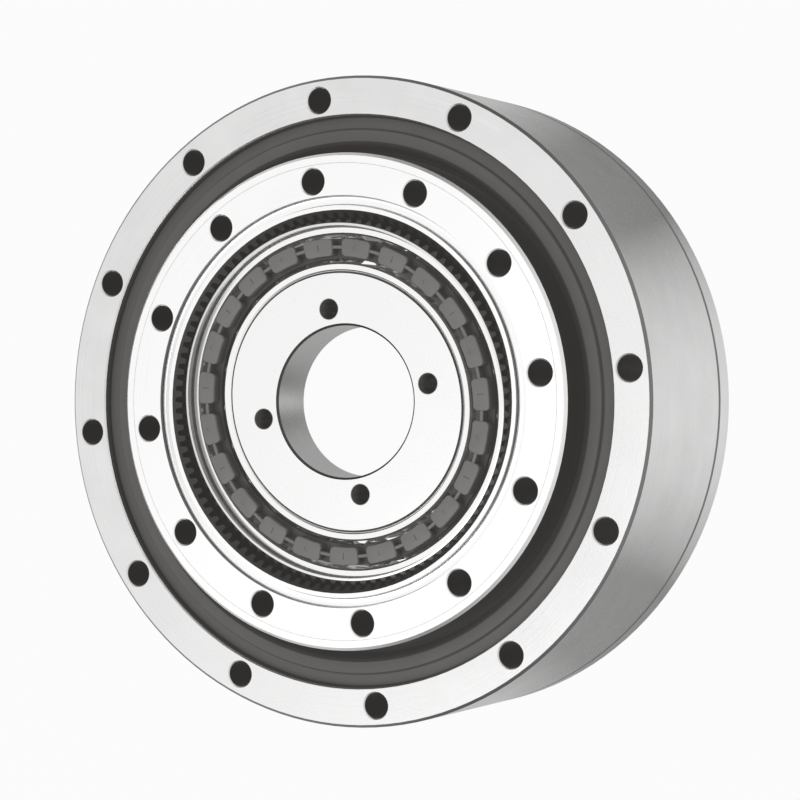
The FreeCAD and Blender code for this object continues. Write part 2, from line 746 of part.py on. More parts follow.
def race(label, back, shoulder, groove):
    """A thin bearing ring: back and shoulder radii, and the radius at the floor of its groove."""
    back, shoulder, groove = value(back), value(shoulder), value(groove)
    low = value("race_bottom")
    high = value("hub_face")
    middle = value("ball_height")
    chamfer = value("race_chamfer") * (1 if back > shoulder else -1)
    curve = value("ball_radius + 2 * ball_play")
    depth = value("race_groove")
    half = math.sqrt(curve * curve - (curve - depth) ** 2)
    edge = abs(chamfer)
    points = [
        (shoulder, middle + half), (shoulder, high - edge), (shoulder + chamfer, high),
        (back - chamfer, high), (back, high - edge), (back, low + edge), (back - chamfer, low),
        (shoulder + chamfer, low), (shoulder, low + edge), (shoulder, middle - half),
    ]
    ring = swept(points, (groove, middle))
    ring.rotate(Vector(0, 0, 0), Vector(0, 0, 1), value("major_angle"))
    return shaped(label, ring)


def ball_places():
    """The ball centres, evenly spaced on their ellipse, with the direction across it."""
    swing = value("deflection")
    mean = value("ball_circle_radius")
    count = int(value("ball_count"))
    places = []
    for k in range(count):
        angle = 2 * math.pi * k / count
        long_axis = mean + swing
        short_axis = mean - swing
        centre = Vector(long_axis * math.cos(angle), short_axis * math.sin(angle), value("ball_height"))
        across = math.degrees(math.atan2(math.sin(angle) * long_axis, math.cos(angle) * short_axis))
        places.append((centre, across))
    return places


def turned_to_major(solids):
    group = Part.makeCompound(solids)
    group.rotate(Vector(0, 0, 0), Vector(0, 0, 1), value("major_angle"))
    return group


def balls():
    """Balls of the flexible bearing."""
    solids = [Part.makeSphere(value("ball_radius"), centre) for centre, _ in ball_places()]
    return shaped("bearing_balls", turned_to_major(solids))


def cage():
    """One-piece cage: pockets open to the rear, and blocks in front joined by narrow necks."""
    inner = value("cage_inner_radius")
    outer = value("cage_outer_radius")
    front = value("cage_front")
    back = value("cage_back")
    ring = swept([(inner, back), (outer, back), (outer, front), (inner, front)], None)
    pocket_radius = value("ball_radius + cage_ball_gap")
    reach = outer - inner + 2
    width = value("cage_slot_width")
    depth = value("cage_slot_depth")
    neck = value("cage_neck")
    tools = []
    for centre, across in ball_places():
        pocket = Part.makeCylinder(pocket_radius, reach, Vector(-reach / 2, 0, centre.z), Vector(1, 0, 0))
        side = (reach - neck) / 2
        notches = [
            Part.makeBox(side, width, depth, Vector(neck / 2, -width / 2, front - depth)),
            Part.makeBox(side, width, depth, Vector(-neck / 2 - side, -width / 2, front - depth)),
            Part.makeBox(reach, width, depth / 3, Vector(-reach / 2, -width / 2, front - depth / 3)),
        ]
        for tool in [pocket] + notches:
            tool.rotate(Vector(0, 0, 0), Vector(0, 0, 1), across)
            tool.translate(Vector(centre.x, centre.y, 0))
            tools.append(tool)
    shape = ring.cut(tools)
    shape.rotate(Vector(0, 0, 0), Vector(0, 0, 1), value("major_angle"))
    return shaped("ball_cage", shape)


def socket_screw(head_radius, head_height, shank_radius, plain, core, length):
    """A screw standing on its head at the origin: head with a hexagon socket, plain shank as far
    as the joint, then the threaded part at its core size."""
    head = Part.makeCylinder(head_radius, head_height)
    shank = Part.makeCylinder(shank_radius, plain, Vector(0, 0, head_height))
    thread = Part.makeCylinder(core, length - plain, Vector(0, 0, head_height + plain))
    corner = shank_radius * 0.95
    hexagon = [Vector(corner * math.cos(math.pi * k / 3), corner * math.sin(math.pi * k / 3), 0)
               for k in range(6)]
    socket = Part.Face(Part.makePolygon(hexagon + hexagon[:1])).extrude(Vector(0, 0, head_height / 2))
    return head.fuse([shank, thread]).removeSplitter().cut(socket)


def flange_screws():
    """Low-head screws that hold the flexspline flange on the outer ring."""
    sink = value("screw_play")
    plain = value("flange_thickness - flange_head_height - screw_play")
    screw = socket_screw(
        value("flange_head_radius"), value("flange_head_height"), value("flange_screw_radius"), plain,
        value("flange_screw_core"), plain + value("flange_screw_grip"),
    )
    screw.translate(Vector(value("flange_screw_circle"), 0, sink))
    return shaped("flange_screws", every_other_gap(screw))


def spline_screws():
    """Screws that hold the circular spline on the inner ring, put in from the rear."""
    bottom = value("inner_ring_bottom + spline_head_sink")
    plain = value("spline_bottom - spline_head_height") - bottom
    screw = socket_screw(
        value("spline_head_radius"), value("spline_head_height"), value("spline_screw_radius"), plain,
        value("spline_screw_core"), plain + value("spline_screw_grip"),
    )
    screw.translate(Vector(value("spline_screw_circle"), 0, bottom))
    group = around(screw, int(value("spline_screw_count")), value("spline_screw_angle"))
    return shaped("spline_screws", group)


def o_ring(label, ring, bottom):
    """A rubber ring squeezed to the depth of its groove, which is 1.2 sections wide."""
    half = value(f"{ring}_depth / 2")
    centre = Vector(value(f"{ring}_circle"), 0, value(bottom) + half)
    side = Vector(value(f"0.56 * {ring}_section"), 0, 0)
    curve = Part.Ellipse(centre + side, centre + Vector(0, 0, half - value("fit") / 2), centre)
    face = Part.Face(Part.Wire(curve.toShape()))
    return shaped(label, face.revolve(Vector(0, 0, 0), Vector(0, 0, 1), 360))


pieces = [
    outer_ring(),
    roller_plug(),
    roller_plug_pin(),
    inner_ring(),
    rollers(),
    spacers(),
    flexspline(),
    circular_spline(),
    generator_plug(),
    race("bearing_inner_race", "plug_radius + fit", "inner_groove_floor + race_groove",
         "inner_groove_floor"),
    race("bearing_outer_race", "flex_bore_radius - race_play", "outer_groove_floor - race_groove",
         "outer_groove_floor"),
    balls(),
    cage(),
    flange_screws(),
    spline_screws(),
    o_ring("flange_o_ring", "flange_ring", "ring_bottom"),
    o_ring("spline_o_ring", "spline_ring", "spline_bottom - spline_ring_depth"),
]
pieces += seal()
document.recompute()

for item in document.Objects:
    if "Invalid" in item.State or "Error" in item.State:
        raise RuntimeError(f"{item.Label} failed: {item.State}")
for piece in pieces:
    if piece.Shape.isNull() or not piece.Shape.isValid():
        raise RuntimeError(f"{piece.Label} has no valid shape")

os.makedirs("parts", exist_ok=True)
for piece in pieces:
    piece.Shape.exportStep(f"parts/{piece.Label}.step")
    print(piece.Label, len(piece.Shape.Solids), "solids", round(piece.Shape.Volume, 1), "mm3")
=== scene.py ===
import math

import bmesh
import bpy
from mathutils import Matrix, Vector


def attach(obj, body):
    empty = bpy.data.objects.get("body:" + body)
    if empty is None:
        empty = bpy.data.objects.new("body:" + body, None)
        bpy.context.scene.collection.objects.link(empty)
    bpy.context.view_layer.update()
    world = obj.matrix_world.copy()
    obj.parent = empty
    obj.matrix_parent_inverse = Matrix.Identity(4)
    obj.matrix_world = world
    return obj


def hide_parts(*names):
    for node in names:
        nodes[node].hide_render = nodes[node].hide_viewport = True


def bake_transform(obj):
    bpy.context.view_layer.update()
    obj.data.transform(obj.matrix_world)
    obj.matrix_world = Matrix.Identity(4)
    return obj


# Strain wave gear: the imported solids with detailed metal, rubber and nylon pieces over them.
# Lengths are millimetres, apart from those of the camera, the light and the floor, which are metres.

MM = 0.001
TURN = 2 * math.pi

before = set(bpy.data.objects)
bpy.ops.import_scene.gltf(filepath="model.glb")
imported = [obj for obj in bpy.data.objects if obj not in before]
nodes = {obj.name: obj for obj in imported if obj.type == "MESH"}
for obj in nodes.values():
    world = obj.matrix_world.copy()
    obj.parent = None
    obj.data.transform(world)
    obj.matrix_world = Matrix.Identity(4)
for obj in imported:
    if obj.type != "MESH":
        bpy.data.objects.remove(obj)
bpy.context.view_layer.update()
slots = {name: item.material_slots[0].material.name for name, item in nodes.items()}
for packed in list(bpy.data.materials):
    bpy.data.materials.remove(packed)


# Sizes of the solids that the pieces are fitted to: heights above the rear face, then radii of holes

FLANGE_TOP = 4.2
BODY_TOP = 30
SPLINE_BOTTOM = 21.5
TOOTH_BOTTOM = 21.8
OUTPUT_TOP = 33
CUP_RIM = 32.0
HUB_BOTTOM = 22.95
HUB_TOP = 30.75
BOLT_HOLE = 1.75
HUB_HOLE = 1.3

# Circles of holes: radius, number, angle of the first in degrees, and the radius of painted shade round each
# hole
FLANGE_HOLES = (42, 12, 0, 1.8)
OUTPUT_HOLES = (30.5, 12, 1.15, 1.8)
HUB_HOLES = (13, 4, 4.8, 1.5)
SCREW_SEATS = (41, 6, 15, 2.95)

# The wave of the thin parts: how far it goes outwards, and the angle of its long axis
DEFLECTION = 0.5
MAJOR_ANGLE = math.radians(131)


# Camera, from the ellipses of the photograph's hole circles

CAMERA_PLACE = (0.171186, -0.017825, 0.357744)
CAMERA_RIGHT = (0.889369, -0.094403, -0.447338)
CAMERA_UP = (0.105396, 0.994430, -0.000314)
CAMERA_BACK = (0.444876, -0.046868, 0.894365)

camera_data = bpy.data.cameras.new("camera")
camera_data.lens = 120.68
camera_data.sensor_width = 36
camera_data.clip_start = 0.01
camera_data.clip_end = 20
camera = bpy.data.objects.new("camera", camera_data)
bpy.context.scene.collection.objects.link(camera)
bpy.context.scene.camera = camera
directions = Matrix((CAMERA_RIGHT, CAMERA_UP, CAMERA_BACK)).transposed().to_4x4()
camera.matrix_world = Matrix.Translation(CAMERA_PLACE) @ directions


# Shader helpers


def node(tree, kind, inputs=None, **settings):
    """A shader node: settings are its properties, inputs its values or the sockets linked to them."""
    item = tree.nodes.new(kind)
    for key, setting in settings.items():
        setattr(item, key, setting)
    for key, source in (inputs or {}).items():
        if isinstance(source, bpy.types.NodeSocket):
            tree.links.new(source, item.inputs[key])
        else:
            item.inputs[key].default_value = source
    return item


def math_node(tree, operation, first, second=0.0, clamp=False):
    inputs = {0: first, 1: second}
    return node(tree, "ShaderNodeMath", inputs, operation=operation, use_clamp=clamp).outputs[0]


def times(tree, first, second):
    return math_node(tree, "MULTIPLY", first, second)


def ramp(tree, source, start, end, low, high, **settings):
    """Takes the source from start..end to low..high and holds it beyond that."""
    inputs = {0: source, 1: start, 2: end, 3: low, 4: high}
    return node(tree, "ShaderNodeMapRange", inputs, **settings).outputs[0]


def with_painted_shade(tree, tone, mask, factor):
    """The tone, multiplied by the factor where the mask is 1, which paints shade there."""
    return times(tree, tone, ramp(tree, mask, 0.0, 1.0, 1.0, factor))


def noise(tree, place, scale, detail):
    inputs = {"Vector": place, "Scale": scale, "Detail": detail}
    return node(tree, "ShaderNodeTexNoise", inputs).outputs["Fac"]


def bump(tree, pattern, strength, depth):
    """A normal that is bumped by a pattern, to a depth in millimetres."""
    inputs = {"Height": pattern, "Strength": strength, "Distance": depth * MM}
    return node(tree, "ShaderNodeBump", inputs).outputs[0]


def grey(level, warmth=0.0):
    return (level * (1 + warmth), level, level * (1 - warmth), 1)


def shaded(tree, tone, colour):
    """Black where the tone is 0 and the colour where it is 1."""
    inputs = {0: tone, 6: grey(0.0), 7: colour}
    return node(tree, "ShaderNodeMix", inputs, data_type="RGBA").outputs[2]


def new_material(name):
    material = bpy.data.materials.new(name)
    material.use_nodes = True
    tree = material.node_tree
    tree.nodes.clear()
    output = tree.nodes.new("ShaderNodeOutputMaterial")
    return material, tree, output


def polar(tree):
    """Object coordinates as sockets: radius, angle and height, in metres and radians, and the point."""
    place = node(tree, "ShaderNodeTexCoord").outputs["Object"]
    parts = node(tree, "ShaderNodeSeparateXYZ", {0: place}).outputs
    squares = [times(tree, parts[k], parts[k]) for k in (0, 1)]
    radius = math_node(tree, "SQRT", math_node(tree, "ADD", squares[0], squares[1]))
    angle = math_node(tree, "ARCTAN2", parts[1], parts[0])
    return radius, angle, parts[2], place


# Finishes

# The photograph's darkest places are a warm dark grey, so every finish glows by this much: painted light
# that lifts its shadows
PAINTED_GLOW = 0.024
PAINTED_GLOW_WARMTH = 0.08

# Tool lines per metre across them and per radian along them, and clouds per metre
LINES_ACROSS = 9000.0
LINES_ALONG = 1.5
STEEL_CLOUDS = 160.0
POLYMER_CLOUDS = 250.0

# The range of a noise that the tones use, and how far the roughness goes up and down with it
NOISE_RANGE = (0.3, 0.7)
ROUGHNESS_SPREAD = 0.15

# Faces beyond this radius are the outside of the unit
OUTSIDE = 44.5
# The share of a face's normal along the axis: a wall is below the first, a chamfer between the others
WALL_LEAN = 0.4
CHAMFER_LEAN = (0.3, 0.95)
# The painted shade line at a seam reaches this far above and below it
SEAM_REACH = 0.2
# The tone of the painted shade line on the outer chamfers and the seam
EDGE_SHADE_TONE = 0.3
# The tone of the painted shade in the holes
HOLE_SHADE_TONE = 0.4

POLYMER_ROUGHNESS = 0.5
POLYMER_BUMP = 0.3
# Painted shade in deep places: its tone, and the height over which it fades
DEEP_SHADE_TONE = 0.3
DEEP_SHADE_FADE = 0.3


def in_holes(tree, radius, angle, circle, count, start, size):
    """1 in the places of a circle of holes that get painted shade, and 0 elsewhere."""
    step = TURN / count
    turn = math_node(tree, "SUBTRACT", angle, math.radians(start))
    local = node(tree, "ShaderNodeMath", {0: turn, 1: -step / 2, 2: step / 2}, operation="WRAP").outputs[0]
    along = times(tree, radius, math_node(tree, "COSINE", local))
    across = times(tree, radius, math_node(tree, "SINE", local))
    along = math_node(tree, "SUBTRACT", along, circle * MM)
    square = math_node(tree, "ADD", times(tree, along, along), times(tree, across, across))
    return math_node(tree, "LESS_THAN", square, (size * MM) ** 2)


def painted_shade_line(tree, radius, height, lean, seam):
    """1 where shade is painted: on the outside's chamfers and round its seam, a height at which two parts
    meet, or no seam.
    """
    outside = math_node(tree, "GREATER_THAN", radius, OUTSIDE * MM)
    above = math_node(tree, "GREATER_THAN", lean, CHAMFER_LEAN[0])
    below = math_node(tree, "LESS_THAN", lean, CHAMFER_LEAN[1])
    line = times(tree, outside, times(tree, above, below))
    if seam is None:
        return line
    distance = math_node(tree, "ABSOLUTE", math_node(tree, "SUBTRACT", height, seam * MM))
    near = math_node(tree, "LESS_THAN", distance, SEAM_REACH * MM)
    return math_node(tree, "MAXIMUM", line, times(tree, outside, near))


def surface(tree, output, inputs):
    """The principled shader of a finish, with the painted glow that all finishes share."""
    glow = {"Emission Color": grey(1.0, PAINTED_GLOW_WARMTH), "Emission Strength": PAINTED_GLOW}
    shader = node(tree, "ShaderNodeBsdfPrincipled", {**inputs, **glow})
    tree.links.new(shader.outputs[0], output.inputs[0])
    return shader


def steel(name, level, roughness, line_bump, mottle, anisotropy=0.0, wall_shade=1.0, holes=(), seam=None):
    """Machined steel: tool lines run round the axis on faces and cylinders, over a soft mottle.
    Painted shade darkens the upright walls inside the outline by a factor and darkens the holes, and it
    lays a dark line on the outer chamfers and the seam."""
    material, tree, output = new_material(name)
    radius, angle, height, place = polar(tree)
    lines = node(tree, "ShaderNodeCombineXYZ", {
        0: times(tree, radius, LINES_ACROSS),
        1: times(tree, angle, LINES_ALONG),
        2: times(tree, height, LINES_ACROSS),
    }).outputs[0]
    fine = noise(tree, lines, scale=1.0, detail=2.0)
    cloud = noise(tree, place, scale=STEEL_CLOUDS, detail=3.0)
    both = math_node(tree, "ADD", times(tree, fine, 0.5), times(tree, cloud, 0.5))
    tone = ramp(tree, both, *NOISE_RANGE, 1 - mottle, 1.0)

    normal = node(tree, "ShaderNodeTexCoord").outputs["Normal"]
    lean = math_node(tree, "ABSOLUTE", node(tree, "ShaderNodeSeparateXYZ", {0: normal}).outputs[2])
    inside = math_node(tree, "LESS_THAN", radius, OUTSIDE * MM)
    # Painted shade: upright walls inside the outline are darkened by the given factor
    upright = times(tree, math_node(tree, "LESS_THAN", lean, WALL_LEAN), inside)
    tone = with_painted_shade(tree, tone, upright, wall_shade)
    tone = with_painted_shade(tree, tone, painted_shade_line(tree, radius, height, lean, seam), EDGE_SHADE_TONE)
    for circle in holes:
        tone = with_painted_shade(tree, tone, in_holes(tree, radius, angle, *circle), HOLE_SHADE_TONE)

    rough = roughness * (1 + ROUGHNESS_SPREAD)
    smooth = roughness * (1 - ROUGHNESS_SPREAD)
    shader = surface(tree, output, {
        "Base Color": shaded(tree, tone, grey(level)),
        "Roughness": ramp(tree, both, *NOISE_RANGE, rough, smooth),
        "Normal": bump(tree, fine, line_bump, depth=0.01),
        "Metallic": 1.0,
        "Anisotropic": anisotropy,
    })
    if anisotropy:
        tangent = node(tree, "ShaderNodeTangent", direction_type="RADIAL", axis="Z").outputs[0]
        tree.links.new(tangent, shader.inputs["Tangent"])
    return material


def polymer(name, level, warmth, grain_scale, deep=None):
    """Moulded rubber or nylon with a fine grain, and painted shade that makes it darker below the deep
    height.
    """
    material, tree, output = new_material(name)
    height, place = polar(tree)[2:]
    grain = noise(tree, place, grain_scale, detail=4.0)
    cloud = noise(tree, place, POLYMER_CLOUDS, detail=2.0)
    tone = ramp(tree, cloud, *NOISE_RANGE, 0.88, 1.0)
    if deep:
        unshaded = ramp(tree, height, (deep - DEEP_SHADE_FADE) * MM, deep * MM, DEEP_SHADE_TONE, 1.0)
        tone = times(tree, tone, unshaded)
    surface(tree, output, {
        "Base Color": shaded(tree, tone, grey(level, warmth)),
        "Roughness": POLYMER_ROUGHNESS,
        "Normal": bump(tree, grain, POLYMER_BUMP, depth=0.02),
        "Metallic": 0.0,
    })
    return material


materials = {
    "ring_steel": steel(
        "ring_steel", level=0.8, roughness=0.26, line_bump=0.25, mottle=0.14, anisotropy=0.4, wall_shade=0.3,
        holes=[FLANGE_HOLES], seam=FLANGE_TOP),
    "output_steel": steel(
        "output_steel", level=0.98, roughness=0.24, line_bump=0.2, mottle=0.05, anisotropy=0.3, wall_shade=0.14,
        holes=[OUTPUT_HOLES]),
    "flex_steel": steel(
        "flex_steel", level=0.8, roughness=0.3, line_bump=0.2, mottle=0.08, wall_shade=0.3,
        holes=[FLANGE_HOLES, SCREW_SEATS], seam=FLANGE_TOP),
    "plug_steel": steel(
        "plug_steel", level=0.9, roughness=0.28, line_bump=0.2, mottle=0.04, wall_shade=0.72, holes=[HUB_HOLES]),
    "race_steel": steel("race_steel", level=0.95, roughness=0.16, line_bump=0.1, mottle=0.04, wall_shade=0.6),
    "rolling_steel": steel("rolling_steel", level=0.8, roughness=0.08, line_bump=0.0, mottle=0.02),
    "seal_rubber": polymer("seal_rubber", level=0.06, warmth=0.04, grain_scale=9000.0),
    "cage_nylon": polymer("cage_nylon", level=0.125, warmth=0.02, grain_scale=7000.0, deep=31.9),
    # Near-black steel that paints the shade on the teeth, the bevel at the inner ring and the hub's chamfer,
    # tapped holes and groove
    "painted_shade_steel": steel("painted_shade_steel", level=0.055, roughness=0.35, line_bump=0.2, mottle=0.2),
    "screw_steel": steel("screw_steel", level=0.12, roughness=0.4, line_bump=0.2, mottle=0.2),
}
for name, item in nodes.items():
    item.material_slots[0].material = materials[slots[name]]


# Mesh helpers

SIDES = 480
ROD_SIDES = 40
TAP_SIDES = 24
TAP_ROWS_PER_TURN = 8
# A thread's flanks take one part in 1.25 of its pitch
FLANK_SLOPE = 1.25
# How far a cutter reaches past the face that it cuts
OVER = 0.05


def new_object(name, mesh, material=None):
    item = bpy.data.objects.new(name, mesh)
    bpy.context.scene.collection.objects.link(item)
    if material:
        mesh.materials.clear()
        mesh.materials.append(materials[material])
    return item


def finished(item, angle=32):
    """Smooth shading with the edges over this angle kept sharp."""
    mesh = item.data
    mesh.shade_smooth()
    mesh.set_sharp_from_angle(angle=math.radians(angle))
    return item


def rounded(corners, steps=3):
    """A closed outline of (radius, height, round) corners with its corners rounded."""
    points = []
    count = len(corners)
    for k, (x, y, size) in enumerate(corners):
        here = Vector((x, y))
        before = Vector(corners[k - 1][:2]) - here
        after = Vector(corners[(k + 1) % count][:2]) - here
        if size <= 0:
            points.append(here)
            continue
        half = before.angle(after) / 2
        reach = min(size / math.tan(half), 0.48 * before.length, 0.48 * after.length)
        radius = reach * math.tan(half)
        centre = here + (before.normalized() + after.normalized()).normalized() * radius / math.sin(half)
        first = here + before.normalized() * reach - centre
        last = here + after.normalized() * reach - centre
        turn = first.angle_signed(last)
        for step in range(steps + 1):
            angle = -turn * step / steps
            points.append(centre + Matrix.Rotation(angle, 2) @ first)
    return [(point.x, point.y) for point in points]


def loft(rings, closed=True, caps=False):
    """A mesh through rings of points that all have the same count."""
    mesh = bmesh.new()
    rows = [[mesh.verts.new([c * MM for c in point]) for point in ring] for ring in rings]
    pairs = list(zip(rows, rows[1:] + rows[:1])) if closed else list(zip(rows, rows[1:]))
    for low, high in pairs:
        count = len(low)
        for k in range(count):
            mesh.faces.new((low[k], low[(k + 1) % count], high[(k + 1) % count], high[k]))
    if caps:
        mesh.faces.new(rows[0][::-1])
        mesh.faces.new(rows[-1])
    bmesh.ops.recalc_face_normals(mesh, faces=mesh.faces)
    return mesh


def circle_of(radius, height, sides, centre=(0, 0)):
    angles = [TURN * k / sides for k in range(sides)]
    return [(centre[0] + radius * math.cos(a), centre[1] + radius * math.sin(a), height) for a in angles]


def lathe(corners):
    """A ring solid turned round the axis from (radius, height, round) corners."""
    return loft([circle_of(radius, height, SIDES) for radius, height in rounded(corners)])


def rod(corners, centre):
    """A solid turned round an upright line, from (radius, height) corners, bottom to top."""
    rings = [circle_of(radius, height, ROD_SIDES, centre) for radius, height in corners]
    return loft(rings, closed=False, caps=True)


def tap(core, depth, pitch, bottom, top, centre):
    """A threaded rod that cuts a tapped hole."""
    rows = int((top - bottom) / pitch * TAP_ROWS_PER_TURN)
    rings = []
    for row in range(rows + 1):
        height = bottom + (top - bottom) * row / rows
        ring = []
        for k in range(TAP_SIDES):
            phase = (height / pitch - k / TAP_SIDES) % 1
            radius = core + depth * max(0, 1 - abs(2 * phase - 1) * FLANK_SLOPE)
            angle = TURN * k / TAP_SIDES
            ring.append((centre[0] + radius * math.cos(angle), centre[1] + radius * math.sin(angle), height))
        rings.append(ring)
    return loft(rings, closed=False, caps=True)


def merged(meshes):
    """Several bmeshes as one mesh."""
    whole = bpy.data.meshes.new("part")
    total = bmesh.new()
    for mesh in meshes:
        mesh.to_mesh(whole)
        total.from_mesh(whole)
        mesh.free()
    total.to_mesh(whole)
    total.free()
    return whole


def cut(item, cutters, operation="DIFFERENCE"):
    """Applies one boolean of all the cutters to the object's mesh, which keeps its first material alone."""
    tool = new_object("cutter", merged(cutters))
    modifier = item.modifiers.new("cut", "BOOLEAN")
    modifier.operation = operation
    modifier.solver = "MANIFOLD"
    modifier.object = tool
    bpy.context.view_layer.update()
    result = bpy.data.meshes.new_from_object(item.evaluated_get(bpy.context.evaluated_depsgraph_get()))
    material = item.data.materials[0]
    item.modifiers.clear()
    item.data = result
    result.materials.clear()
    result.materials.append(material)
    bpy.data.objects.remove(tool)
    return item


def copy_of(name, node_name):
    """A new piece with the mesh of a CAD node, its doubled points joined."""
    mesh = bmesh.new()
    mesh.from_mesh(nodes[node_name].data)
    bmesh.ops.remove_doubles(mesh, verts=mesh.verts, dist=1e-7)
    data = bpy.data.meshes.new(name)
    mesh.to_mesh(data)
    mesh.free()
    data.attributes.remove(data.attributes["custom_normal"])
    return new_object(name, data, slots[node_name])


def stands_for(item, node_name, body):
    """Puts a piece in the place of a CAD node, on a body if it has one."""
    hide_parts(node_name)
    if body:
        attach(item, body)


def wave(angle):
    """How far the wave generator pushes the thin parts outwards at an angle."""
    return DEFLECTION * math.cos(2 * (angle - MAJOR_ANGLE))


def no_wave(angle):
    """The push on a part that is round."""
    return 0


def waved(corners):
    """A closed ring solid from (radius, height) corners that follows the wave."""
    angles = [TURN * k / SIDES for k in range(SIDES)]
    return loft([
        [((radius + wave(a)) * math.cos(a), (radius + wave(a)) * math.sin(a), height) for a in angles]
        for radius, height in corners
    ])


def second_finish(item, name, chosen, push=wave):
    """Another material for the faces that the test picks, from their radius less the push of the wave,
    their height, and the share of their normal along the axis."""
    item.data.materials.append(materials[name])
    for face in item.data.polygons:
        x, y, height = face.center / MM
        if chosen(math.hypot(x, y) - push(math.atan2(y, x)), height, abs(face.normal.z)):
            face.material_index = 1


def on_circle(circle):
    """The centres of the holes of a circle."""
    radius, count, start = circle[:3]
    angles = [math.radians(start + 360 * k / count) for k in range(count)]
    return [(radius * math.cos(angle), radius * math.sin(angle)) for angle in angles]


def chamfers(circle, radius, chamfer, bottom, top):
    """Cutters for both mouths of the through holes of a circle."""
    low = [(radius + chamfer + OVER, bottom - OVER), (radius - OVER, bottom + chamfer + OVER)]
    high = [(radius - OVER, top - chamfer - OVER), (radius + chamfer + OVER, top + OVER)]
    return [rod(corners, centre) for centre in on_circle(circle) for corners in (low, high)]


# The flexspline: its toothed rim bevelled along the wave, and its mesh split at even heights between the
# flange and the teeth

RIM_BEVEL = [(24.5, CUP_RIM + 0.05), (26.6, CUP_RIM - 1.0), (26.6, CUP_RIM + 0.3), (24.5, CUP_RIM + 0.3)]
BLEND_LEVELS = 36


def sliced(item, bottom, top, levels):
    """Splits the mesh at even heights between two levels."""
    mesh = bmesh.new()
    mesh.from_mesh(item.data)
    for step in range(1, levels):
        height = (bottom + (top - bottom) * step / levels) * MM
        bmesh.ops.bisect_plane(
            mesh, geom=mesh.verts[:] + mesh.edges[:] + mesh.faces[:], dist=1e-8,
            plane_co=(0, 0, height), plane_no=(0, 0, 1),
        )
    mesh.to_mesh(item.data)
    mesh.free()


def tooth_face(radius, height, lean):
    """The teeth of the flexspline with their bevels, without its bore and its flat end."""
    return height > TOOTH_BOTTOM and radius > 24.45 and lean < 0.99


flexspline = cut(copy_of("flexspline_cup", "flexspline"), [waved(RIM_BEVEL)])
sliced(flexspline, FLANGE_TOP, TOOTH_BOTTOM, BLEND_LEVELS)
# The teeth take the painted shade
second_finish(flexspline, "painted_shade_steel", tooth_face)
finished(flexspline)
stands_for(flexspline, "flexspline", None)
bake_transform(flexspline)


# The outer ring, with chamfered holes

BOLT_CHAMFER = 0.2

cutters = chamfers(FLANGE_HOLES, BOLT_HOLE, BOLT_CHAMFER, FLANGE_TOP, BODY_TOP)
outer_ring = finished(cut(copy_of("outer_ring_body", "outer_ring"), cutters))
stands_for(outer_ring, "outer_ring", "housing")


# The circular spline: chamfered holes, a shallower groove, and a fine bevel where it meets the inner ring

GROOVE_FLOOR = [
    (26.85, 31.3, 0), (28.35, 31.3, 0), (28.35, 32.62, 0), (28.28, 32.62, 0), (28.28, 32.0, 0.3),
    (26.92, 32.0, 0.3), (26.92, 32.62, 0), (26.85, 32.62, 0),
]
JOINT_BEVEL = [(32.7, 33.02, 0), (32.8, 32.92, 0), (32.8, 33.02, 0)]


def spline_shade(radius, height, lean):
    """The places of the circular spline with painted shade: its teeth, and the bevel at the inner ring."""
    bevel = radius > 32.7 and 32.95 < height < 32.999
    return radius < 26.28 or bevel


cutters = chamfers(OUTPUT_HOLES, BOLT_HOLE, BOLT_CHAMFER, SPLINE_BOTTOM, OUTPUT_TOP)
circular_spline = cut(copy_of("circular_spline_body", "circular_spline"), cutters)
finished(cut(cut(circular_spline, [lathe(GROOVE_FLOOR)], "UNION"), [lathe(JOINT_BEVEL)]))
second_finish(circular_spline, "painted_shade_steel", spline_shade, no_wave)
stands_for(circular_spline, "circular_spline", "output")


# The hub: tapped holes and a shallow groove round its rim

THREAD = {"core": 1.24, "depth": 0.22, "pitch": 0.5, "bottom": 22.5, "top": 31.2}
HUB_CHAMFER = 0.12
RIM_GROOVE = [(17.74, 30.6), (18.3, 30.6), (18.3, 30.85), (17.74, 30.85)]


def hub_shade(radius, height, lean):
    """The places of the hub with painted shade: the bore's upper chamfer, the tapped holes and the rim's
    groove.
    """
    chamfer = radius < 11.25 and 0.3 < lean < 0.95 and height > 30.0
    hole = 11.25 < radius < 14.8 and 23.0 < height < 30.74
    groove = radius > 17.5 and 30.2 < height < 30.74
    return chamfer or hole or groove


taps = [tap(centre=centre, **THREAD) for centre in on_circle(HUB_HOLES)]
cutters = chamfers(HUB_HOLES, HUB_HOLE, HUB_CHAMFER, HUB_BOTTOM, HUB_TOP)
cutters.append(waved(RIM_GROOVE))
hub = finished(cut(cut(copy_of("generator_hub", "generator_plug"), cutters), taps))
second_finish(hub, "painted_shade_steel", hub_shade)
stands_for(hub, "generator_plug", "wave_generator")


# The ball cage: rounded blocks joined by narrow necks, over the pockets of the CAD cage

BALLS = 23
BALL_CIRCLE = 21.16
BLOCK_CIRCLE = 21.27
CAGE_TOP = 32.1
GAP_FLOOR = 30.3
PAD_BOTTOM = GAP_FLOOR - 0.1
MARK_TOP = CAGE_TOP + 0.2
CORNER_STEPS = 5
SIDE_STEPS = 8


def cage_point(middle, along, across, height):
    """A point of the cage, from lengths along and across the ring and the angle of a block's middle."""
    angle = middle + along / BLOCK_CIRCLE
    radius = BLOCK_CIRCLE + across + wave(angle)
    return (radius * math.cos(angle), radius * math.sin(angle), height)


def middle_of(step):
    """The angle of a place that lies a number of ball steps from the long axis."""
    turn = TURN * step / BALLS
    long_axis = BALL_CIRCLE + DEFLECTION
    short_axis = BALL_CIRCLE - DEFLECTION
    return MAJOR_ANGLE + math.atan2(short_axis * math.sin(turn), long_axis * math.cos(turn))


